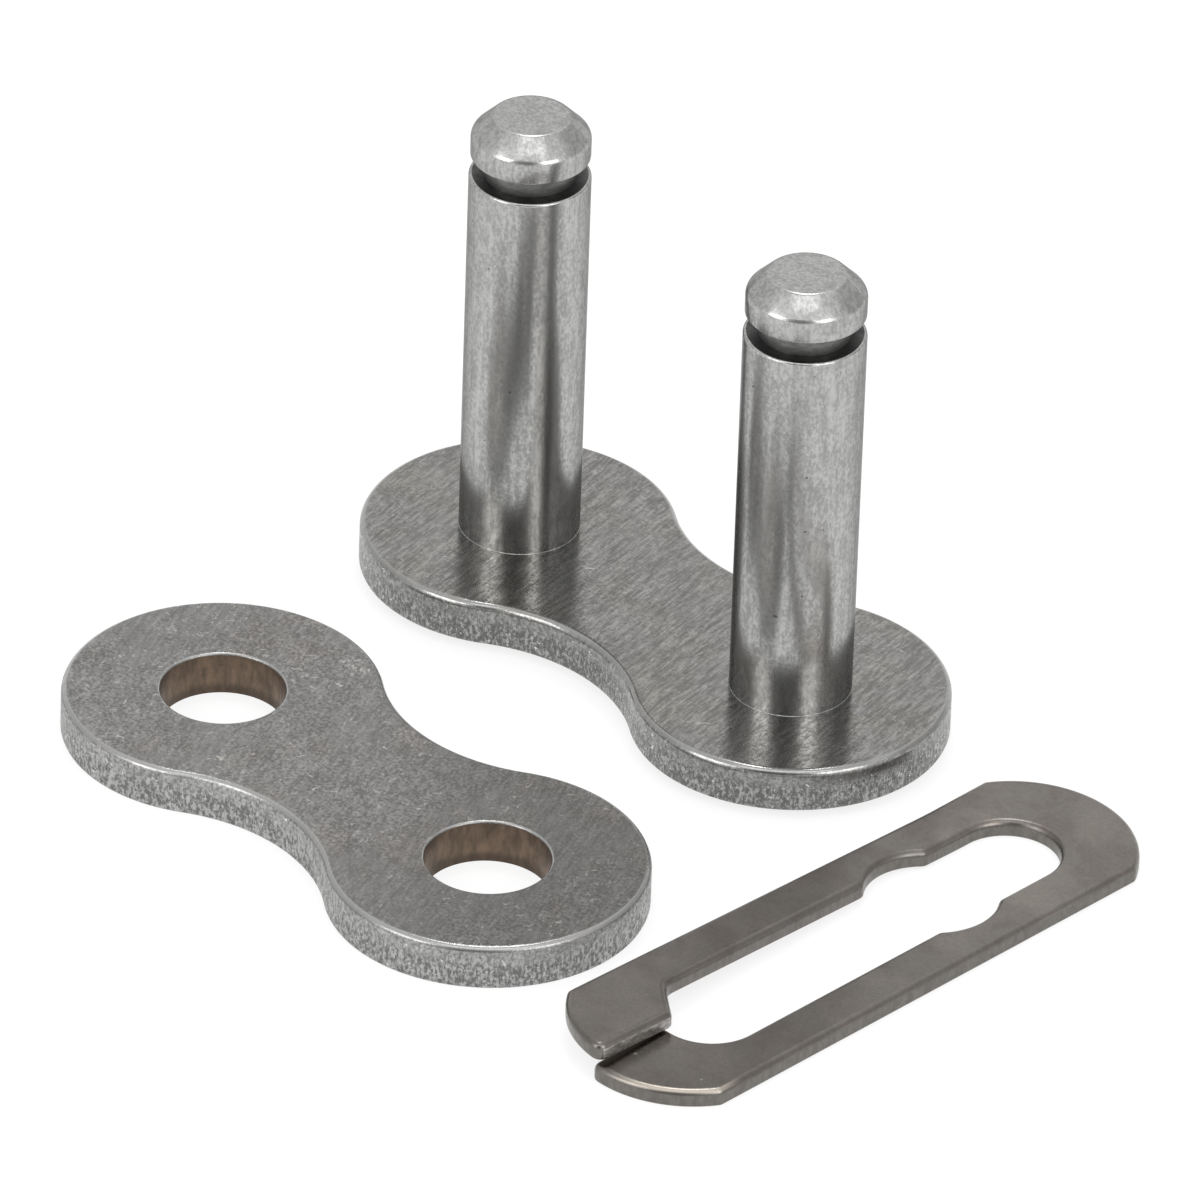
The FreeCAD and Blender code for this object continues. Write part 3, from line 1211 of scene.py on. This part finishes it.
@dataclass
class SpringClip(LinkPiece):
    """The split spring clip, its closed end at +X and its far leg at +Y. Sizes are in millimetres."""

    name: str = "spring_clip_looks"
    thickness: float = 0.6
    slot_half: float = 1.67
    half_width: float = 3.38
    length: float = 22.53
    end_radius: float = 3.87
    closed_web: float = 2.65
    split_web: float = 3.14
    keyhole_radius: float = 2.15
    keyhole_offset: float = 3.5
    keyhole_corner: float = 0.35
    side_corner: float = 0.3
    tip_corner: float = 0.32
    nib_corner: float = 0.3
    edge_round: float = 0.24
    burr_break: float = 0.1
    round_faces: int = 5
    leg_rise: float = 0.78
    leg_squeeze: float = 0.22
    bend_radius: float = 20.0
    bend_cuts: int = 24
    bend_crowding: float = 1.6
    far_nib_angle: float = 52.0
    far_nib_hollow: float = 0.7
    far_cut: float = 0.075
    near_cut: float = 0.45
    arc_step: float = 0.16

    def __post_init__(self) -> None:
        """Work out the places that both legs share."""
        self.closed_x = self.length / 2
        self.slot_closed = self.closed_x - self.closed_web - self.slot_half
        self.slot_split = -self.closed_x + self.split_web + self.slot_half
        self.slot_end = self.slot_split - self.slot_half
        self.keyhole = flat(self.slot_closed - self.keyhole_offset, 0)
        self.end_centre = self.closed_x - self.end_radius
        self.run = self.slot_closed + self.closed_x

    def end_x(self, side: float) -> float:
        """How far out an end arc lies at a distance from the middle line."""
        return self.end_centre + math.sqrt(self.end_radius ** 2 - side ** 2)

    def keyhole_cuts(self, start: Vector, end: Vector) -> tuple[Vector, Vector]:
        """Find where the keyhole's circle crosses a side of the slot.

        Args:
            start: a point of the side towards the split.
            end: a point of it towards the closed end.

        Returns:
            The crossing towards the split and the one towards the closed end.
        """
        along = (end - start).normalized()
        foot = start + along * (self.keyhole - start).dot(along)
        reach = math.sqrt((self.keyhole_radius * MM) ** 2 - (foot - self.keyhole).length ** 2)
        return foot - along * reach, foot + along * reach

    def far_plan(self) -> list[Side]:
        """Lay out the far leg and its half of the closed end.

        Returns:
            The sides of the plan.
        """
        side, slot = self.half_width - self.leg_squeeze, self.slot_half - self.leg_squeeze
        slope = math.tan(math.radians(self.far_nib_angle))
        hollow, slot_top = flat(self.slot_end + slot / slope, slot), flat(self.slot_closed, self.slot_half)
        before, after = self.keyhole_cuts(hollow, slot_top)
        side_corner, keyhole_corner = self.side_corner * MM, self.keyhole_corner * MM
        closed_tip = flat(self.end_x(self.half_width), self.half_width)
        split_tip = flat(-self.end_x(self.far_cut), self.far_cut)
        nib = flat(self.slot_end + self.far_cut / slope, self.far_cut)
        return [
            Side(flat(self.closed_x, 0)),
            Side(closed_tip, flat(self.end_centre, 0), rounding=side_corner),
            Side(flat(-self.end_x(side), side), rounding=side_corner),
            Side(split_tip, flat(-self.end_centre, 0), rounding=self.tip_corner * MM),
            Side(nib, rounding=self.nib_corner * MM),
            Side(hollow, rounding=self.far_nib_hollow * MM),
            Side(before, rounding=keyhole_corner),
            Side(after, self.keyhole, Turn.RIGHT, keyhole_corner),
            Side(slot_top),
            Side(flat(self.slot_closed + self.slot_half, 0), flat(self.slot_closed, 0), Turn.RIGHT),
        ]

    def near_plan(self) -> list[Side]:
        """Lay out the near leg and its half of the closed end.

        Returns:
            The sides of the plan.
        """
        split, closed = flat(self.slot_split, -self.slot_half), flat(self.slot_closed, -self.slot_half)
        before, after = self.keyhole_cuts(split, closed)
        side_corner, keyhole_corner = self.side_corner * MM, self.keyhole_corner * MM
        side_x = self.end_x(self.half_width)
        nib = flat(self.slot_split - math.sqrt(self.slot_half ** 2 - self.near_cut ** 2), self.near_cut)
        return [
            Side(flat(self.slot_closed + self.slot_half, 0)),
            Side(closed, flat(self.slot_closed, 0), Turn.RIGHT),
            Side(after, rounding=keyhole_corner),
            Side(before, self.keyhole, Turn.RIGHT, keyhole_corner),
            Side(split),
            Side(nib, flat(self.slot_split, 0), Turn.RIGHT, self.nib_corner * MM),
            Side(flat(-self.end_x(self.near_cut), self.near_cut), rounding=self.tip_corner * MM),
            Side(flat(-side_x, -self.half_width), flat(-self.end_centre, 0), rounding=side_corner),
            Side(flat(side_x, -self.half_width), rounding=side_corner),
            Side(flat(self.closed_x, 0), flat(self.end_centre, 0)),
        ]

    def make_leg(self, name: str, plan: Sequence[Side]) -> Piece:
        """Raise one leg and round its edges, its joint to the other one left open.

        Args:
            name: the leg's name.
            plan: the sides of its plan.

        Returns:
            The leg, in edit mode.
        """
        def in_joint(face: Face) -> bool:
            """Whether a face lies where the two legs meet."""
            return all(abs(point.co.y) < PLACE_TOLERANCE and point.co.x > 0 for point in face.verts)

        leg = Plan(name, plan, self.arc_step).raise_solid(self.thickness)
        for level, size in ((self.thickness, self.edge_round), (0.0, self.burr_break)):
            round_edges(
                leg, lambda edge: is_level_rim(edge, level) and not any(map(in_joint, edge.link_faces)),
                size, self.round_faces)
        pick(leg, Part.FACE, in_joint)
        bpy.ops.mesh.delete(type="ONLY_FACE")
        return leg

    def rise_at(self, x: float) -> float:
        """Work out how high the far leg has sprung.

        Args:
            x: the place along the clip.

        Returns:
            The rise of its underside.
        """
        angle = math.atan2(self.leg_rise, self.run)
        along = max(0.0, self.slot_closed - x)
        bend_end = self.bend_radius * math.sin(angle)
        if along < bend_end:
            return self.bend_radius - math.sqrt(self.bend_radius ** 2 - along ** 2)
        return self.bend_radius * (1 - math.cos(angle)) + (along - bend_end) * math.tan(angle)

    def spring_up(self, leg: Piece) -> None:
        """Bend the far leg up, one short length after another.

        Args:
            leg: the far leg in edit mode.
        """
        for cut in range(self.bend_cuts):
            x = self.slot_closed - self.run * (cut / self.bend_cuts) ** self.bend_crowding
            bpy.ops.mesh.select_all(action="SELECT")
            bpy.ops.mesh.bisect(plane_co=(x * MM, 0, 0), plane_no=(1, 0, 0))
        points = bmesh.from_edit_mesh(leg.data).verts
        places = {round(point.co.x / MM, PLACE_DECIMALS) for point in points
                  if point.co.x < self.slot_closed * MM}
        lifted = 0.0
        for x in sorted(places, reverse=True):
            step = self.rise_at(x) - lifted
            pick(leg, Part.POINT, lambda point: point.co.x < x * MM + HAIR)
            bpy.ops.transform.translate(value=(0, 0, step * MM))
            lifted += step

    def build(self) -> Piece:
        """Model both legs and join them at the closed end.

        Returns:
            The clip.
        """
        far = self.make_leg("far_leg", self.far_plan())
        self.spring_up(far)
        bpy.ops.object.mode_set(mode="OBJECT")
        clip = self.make_leg(self.name, self.near_plan())
        bpy.ops.object.mode_set(mode="OBJECT")
        for leg in (far, clip):
            only(leg)
            bpy.ops.object.transform_apply(location=True, rotation=True, scale=True)
        far.select_set(True)
        bpy.ops.object.join()
        bpy.ops.object.mode_set(mode="EDIT")
        pick(clip, Part.POINT, lambda point: abs(point.co.y) < PLACE_TOLERANCE and point.co.x > 0)
        bpy.ops.mesh.remove_doubles(threshold=MERGE_DISTANCE)
        leave_edit(clip)
        return clip

    def takes_second_finish(self, face: Face) -> bool:
        """Ask whether a face is one of the two sheared ones at the split.

        Args:
            face: a face of the piece about its own origin.

        Returns:
            True if it is.
        """
        middle = face.calc_center_median() / MM
        return (middle.x < self.slot_end and abs(face.normal.y) > LEVEL
                and any(abs(middle.y - cut) < self.burr_break / 2 for cut in (self.far_cut, self.near_cut)))


@dataclass(frozen=True)
class Panel:
    """A lit panel or a grey card that faces the pieces.

    Args:
        name: its name.
        azimuth: how far it stands round to the right of the camera, in degrees.
        elevation: how high it stands, in degrees.
        distance: how far off it stands, in millimetres.
        width: its width in millimetres.
        height: its height in millimetres.
        brightness: how bright it looks, where 1 is white.
    """

    name: str
    azimuth: float
    elevation: float
    distance: float
    width: float
    height: float
    brightness: float


@dataclass(frozen=True)
class Studio:
    """A white table in a light tent, with lit panels, grey cards and the camera. Millimetres."""

    aim_offset: Corner = (-3.2483, 0.7553)
    azimuth: float = 45.3589
    elevation: float = 32.8846
    roll: float = 1.9674
    distance: float = 530.058
    lens: float = 488.206
    sensor_width: float = 36.0
    clip_near: float = 10.0
    clip_far: float = 10000.0
    table_size: float = 2400.0
    tent_strength: float = 0.85
    table_glow: float = 0.78
    table_colour: float = 0.25
    card_solid: float = 0.5
    lamps: tuple[Panel, ...] = (
        Panel("overhead_box", 180.0, 70.0, 420.0, 110.0, 90.0, 9.0),
        Panel("front_box", 0.0, 67.0, 420.0, 340.0, 140.0, 1.0),
        Panel("left_panel", -55.0, 30.0, 320.0, 160.0, 160.0, 2.8),
        Panel("right_panel", 39.0, 30.0, 320.0, 160.0, 160.0, 2.8),
    )
    cards: tuple[Panel, ...] = (
        Panel("middle_card", -10.0, 28.0, 360.0, 420.0, 300.0, 0.28),
        Panel("right_card", 110.0, 26.0, 340.0, 480.0, 360.0, 0.65),
        Panel("left_card", -112.0, 26.0, 340.0, 480.0, 360.0, 0.8),
    )

    def stand(self, thing: Piece, aim: Vector, azimuth: float, elevation: float, distance: float) -> None:
        """Stand the camera, a lamp or a card in its place, facing the pieces.

        Args:
            thing: what is stood up.
            aim: the point that it faces.
            azimuth: how far round it stands to the right of the camera, in degrees.
            elevation: how high it stands, in degrees.
            distance: how far off it stands, in millimetres.
        """
        around, up = math.radians(self.azimuth + azimuth), math.radians(elevation)
        back = Vector((math.sin(around) * math.cos(up), -math.cos(around) * math.cos(up), math.sin(up)))
        thing.location = aim + back * distance * MM
        thing.rotation_mode = "QUATERNION"
        thing.rotation_quaternion = (-back).to_track_quat("-Z", "Y")

    def add(self, data: bpy.types.Camera | bpy.types.Light) -> Piece:
        """Add a camera or a lamp to the scene.

        Args:
            data: its settings.

        Returns:
            The new object.
        """
        thing = bpy.data.objects.new(data.name, data)
        bpy.context.scene.collection.objects.link(thing)
        return thing

    def set_camera(self, pin_plate: Vector) -> None:
        """Set up the camera at the photograph's angle.

        Args:
            pin_plate: the pin plate's centre.
        """
        data = bpy.data.cameras.new("camera")
        data.lens = self.lens
        data.sensor_width = self.sensor_width
        data.clip_start = self.clip_near * MM
        data.clip_end = self.clip_far * MM
        camera = self.add(data)
        aim = Vector((pin_plate.x, pin_plate.y, 0)) + flat(*self.aim_offset)
        self.stand(camera, aim, 0.0, self.elevation, self.distance)
        camera.rotation_quaternion @= Quaternion((0, 0, 1), math.radians(self.roll))
        bpy.context.scene.camera = camera

    def lay_table(self) -> None:
        """Lay the white table under the pieces."""
        bpy.ops.object.select_all(action="DESELECT")
        bpy.ops.mesh.primitive_plane_add(size=self.table_size * MM)
        table = bpy.context.object
        table.name = "table"
        board = NodeBoard(bpy.data.materials.new("white_table"))
        paper = board.lay("BsdfDiffuse", {"Color": (self.table_colour,) * 3})
        white = board.times(board.camera_gloss_or_glass(), self.table_glow)
        glow = board.lay("Emission", {"Strength": white})
        board.close(board.lay("AddShader", {0: paper.outputs[0], 1: glow.outputs[0]}))
        table.data.materials.append(board.owner)

    def pitch_tent(self) -> None:
        """Light the room evenly, and show white where nothing stands."""
        world = bpy.data.worlds.new("light_tent")
        bpy.context.scene.world = world
        board = NodeBoard(world)
        soft, white = (board.lay("Background", {"Color": (1.0, 1.0, 1.0), "Strength": strength}).outputs[0]
                       for strength in (self.tent_strength, 1.0))
        room = board.lay("MixShader", {0: board.camera_gloss_or_glass(), 1: soft, 2: white})
        board.close(room, "OutputWorld")

    def hang_lamp(self, panel: Panel) -> None:
        """Hang a lit panel.

        Args:
            panel: its place, size and brightness.
        """
        data = bpy.data.lights.new(panel.name, "AREA")
        data.shape = "RECTANGLE"
        data.size = panel.width * MM
        data.size_y = panel.height * MM
        data.energy = panel.brightness * math.pi * data.size * data.size_y
        self.stand(self.add(data), Vector(), panel.azimuth, panel.elevation, panel.distance)

    def stand_card(self, panel: Panel) -> None:
        """Stand up a grey card with a soft rim, seen only in the gloss of the metal.

        Args:
            panel: its place, size and brightness.
        """
        bpy.ops.object.select_all(action="DESELECT")
        bpy.ops.mesh.primitive_plane_add(size=MM)
        card = bpy.context.object
        card.name = panel.name
        card.scale = (panel.width, panel.height, 1)
        self.stand(card, Vector(), panel.azimuth, panel.elevation, panel.distance)
        board = NodeBoard(bpy.data.materials.new(panel.name))
        place = board.lay("TexCoord", {}).outputs["Object"]
        reach = board.lay("VectorMath", {0: place}, operation="LENGTH").outputs["Value"]
        fade = board.step(reach, Step(self.card_solid * MM / 2, MM / 2))
        grey = board.lay("Emission", {"Strength": panel.brightness})
        clear = board.lay("BsdfTransparent", {})
        board.close(board.lay("MixShader", {0: fade, 1: grey.outputs[0], 2: clear.outputs[0]}))
        card.data.materials.append(board.owner)
        for ray in ("camera", "diffuse", "transmission", "shadow"):
            setattr(card, "visible_" + ray, False)

    def build(self, pin_plate: Vector) -> None:
        """Set up the table, the light and the camera.

        Args:
            pin_plate: the pin plate's centre.
        """
        self.lay_table()
        self.pitch_tent()
        for panel in self.lamps:
            self.hang_lamp(panel)
        for panel in self.cards:
            self.stand_card(panel)
        self.set_camera(pin_plate)
        bpy.context.scene.view_settings.view_transform = "Standard"


def centre_of(node: str) -> Vector:
    """The middle of a CAD node's footprint, at its underside."""
    low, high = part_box(node)
    return Vector(((low.x + high.x) / 2, (low.y + high.y) / 2, low.z))


@dataclass(frozen=True)
class ConnectingLink:
    """The whole set, its loose pieces placed from the pin plate's centre in millimetres and degrees."""

    cover_offset: Corner = (0.56, -13.73)
    cover_turn: float = -1.22
    clip_offset: Corner = (16.69, -7.135)
    clip_turn: float = 91.0
    pin_plate_finish: PlateFinish = PlateFinish(
        name="pin_plate_brushed", face=(0.31, 0.305, 0.295), face_dark=(0.205, 0.202, 0.197),
        stain=(0.315, 0.295, 0.265), stain_dark=(0.205, 0.190, 0.168), score=(0.15, 0.146, 0.14),
        speck_and_glint=(0.55, 0.54, 0.52), flake=(0.75, 0.75, 0.73), edge=(0.38, 0.38, 0.375),
        wall_light=(0.385, 0.385, 0.376), wall_dark=(0.14, 0.14, 0.138), roughness=0.215,
        grain_depth=0.0012, scratch_depth=0.0025, scratch_turn=-12.0, scratch_share=0.27,
        speck_share=0.25, calm_share=0.35, score_share=0.7, underside=0.35)
    cover_plate_finish: PlateFinish = PlateFinish(
        name="cover_plate_tumbled", face=(0.285, 0.281, 0.274), face_dark=(0.155, 0.153, 0.15),
        stain=(0.290, 0.268, 0.246), stain_dark=(0.155, 0.140, 0.127), score=(0.12, 0.117, 0.113),
        speck_and_glint=(0.58, 0.56, 0.53), flake=(0.70, 0.70, 0.68), edge=(0.46, 0.46, 0.455),
        wall_light=(0.49, 0.49, 0.48), wall_dark=(0.18, 0.18, 0.177), roughness=0.40,
        grain_depth=0.004, scratch_depth=0.004, scratch_turn=-25.0, scratch_share=0.16,
        speck_share=0.65, calm_share=0.55, score_share=0.35, underside=0.0, painted_shade_end=0.78)

    def build(self) -> None:
        """Build and dress every piece in its place."""
        centre = centre_of("pin_plate")
        table = Vector((centre.x, centre.y, 0))

        pin_plate = LinkPlate("pin_plate_looks", hole_radius=1.8, hole_lip=0.0)
        set_down(pin_plate.dressed([self.pin_plate_finish.make()]), centre, 0.0, "pin_plate")

        cover_plate = LinkPlate("cover_plate_looks", hole_radius=2.025, hole_lip=0.09)
        cover = cover_plate.dressed([self.cover_plate_finish.make(), HoleFinish().make()])
        set_down(cover, table + flat(*self.cover_offset), self.cover_turn, "cover_plate")

        pin_left = Pin("pin_left_looks").dressed([PinFinish().make(), GrooveFinish().make()])
        pin_right = copy_of(pin_left, "pin_right_looks")
        set_down(pin_left, centre_of("pin_left"), 0.0, "pin_left")
        set_down(pin_right, centre_of("pin_right"), 0.0, "pin_right")

        clip = SpringClip().dressed([ClipFinish().make(), CutFinish().make()])
        set_down(clip, table + flat(*self.clip_offset), self.clip_turn, "spring_clip")


def main() -> None:
    """Build the set, then the studio round it."""
    ConnectingLink().build()
    Studio().build(centre_of("pin_plate"))


if __name__ == "__main__":
    main()
